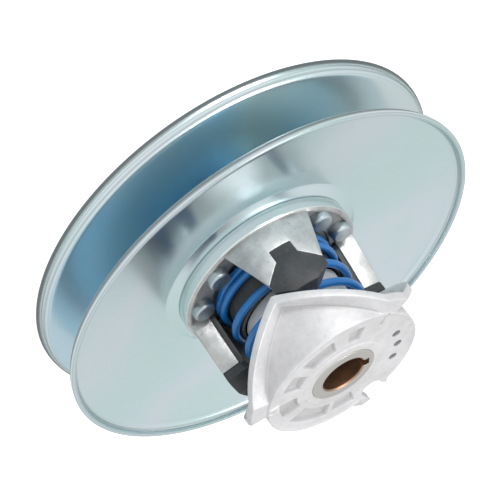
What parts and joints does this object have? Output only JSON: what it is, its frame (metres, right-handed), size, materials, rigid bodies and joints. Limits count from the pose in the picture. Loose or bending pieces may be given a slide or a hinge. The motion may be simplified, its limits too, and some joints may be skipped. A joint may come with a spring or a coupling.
{
  "type": "driven belt variator pulley",
  "caption": "Driven variable-ratio pulley: two steel sheaves on a keyed post, a spring-loaded sliding sheave with ramp shoes, and a fixed torque cam.",
  "frame": {"origin": "on the shaft axis, level with the rear edge of the fixed sheave's rim", "axes": "+Z along the shaft towards the cam's nose; the shaft keyway faces -X; sheaves closed on each other"},
  "size_m": [0.254, 0.254, 0.1071],
  "materials": {
    "zinc_plated_sheet": "bright bluish zinc plating",
    "cast_metal": "sand-cast aluminium, tumbled",
    "cast_aluminium": "die-cast aluminium, satin",
    "post_steel": "machined steel",
    "plated_rivet": "zinc-plated steel",
    "blue_spring": "gloss blue powder coat",
    "black_plastic": "moulded glass-filled nylon",
    "bushing": "sintered bronze",
    "seal_rubber": "nitrile rubber"
  },
  "bodies": {
    "fixed_side": {"post": "post_steel", "fixed_sheave_disc": "zinc_plated_sheet", "fixed_hub_flange": "cast_metal", "fixed_sheave_rivets": "plated_rivet", "closing_stop_washer": "post_steel", "torque_cam": "cast_aluminium", "cam_key": "post_steel", "spring": "blue_spring"},
    "spring_seat": {"spring_seat_washer": "post_steel", "spring_guide_sleeve": "black_plastic"},
    "movable_side": {"movable_sheave_disc": "zinc_plated_sheet", "movable_hub": "cast_metal", "movable_hub_rivets": "plated_rivet", "ramp_shoe_1": "black_plastic", "ramp_shoe_2": "black_plastic", "ramp_shoe_3": "black_plastic", "hub_bushing_rear": "bushing", "hub_bushing_front": "bushing", "hub_seal_rear": "seal_rubber", "hub_seal_front": "seal_rubber"}
  },
  "joints": [
    {"name": "sheave_slide", "type": "slide", "parent": "fixed_side", "child": "spring_seat", "axis": [0, 0, 1], "range_m": [0, 0.0225], "stiffness_N_per_m": 4000, "springref_m": -0.02, "deforming": ["spring"]},
    {"name": "sheave_turn", "type": "hinge", "parent": "spring_seat", "child": "movable_side", "pos_m": [0, 0, 0.03], "axis": [0, 0, 1], "range_deg": [-41.5, 0]}
  ],
  "couplings": [
    {"joint": "sheave_turn", "follows": "sheave_slide", "rad_per_m": -31.84}
  ]
}
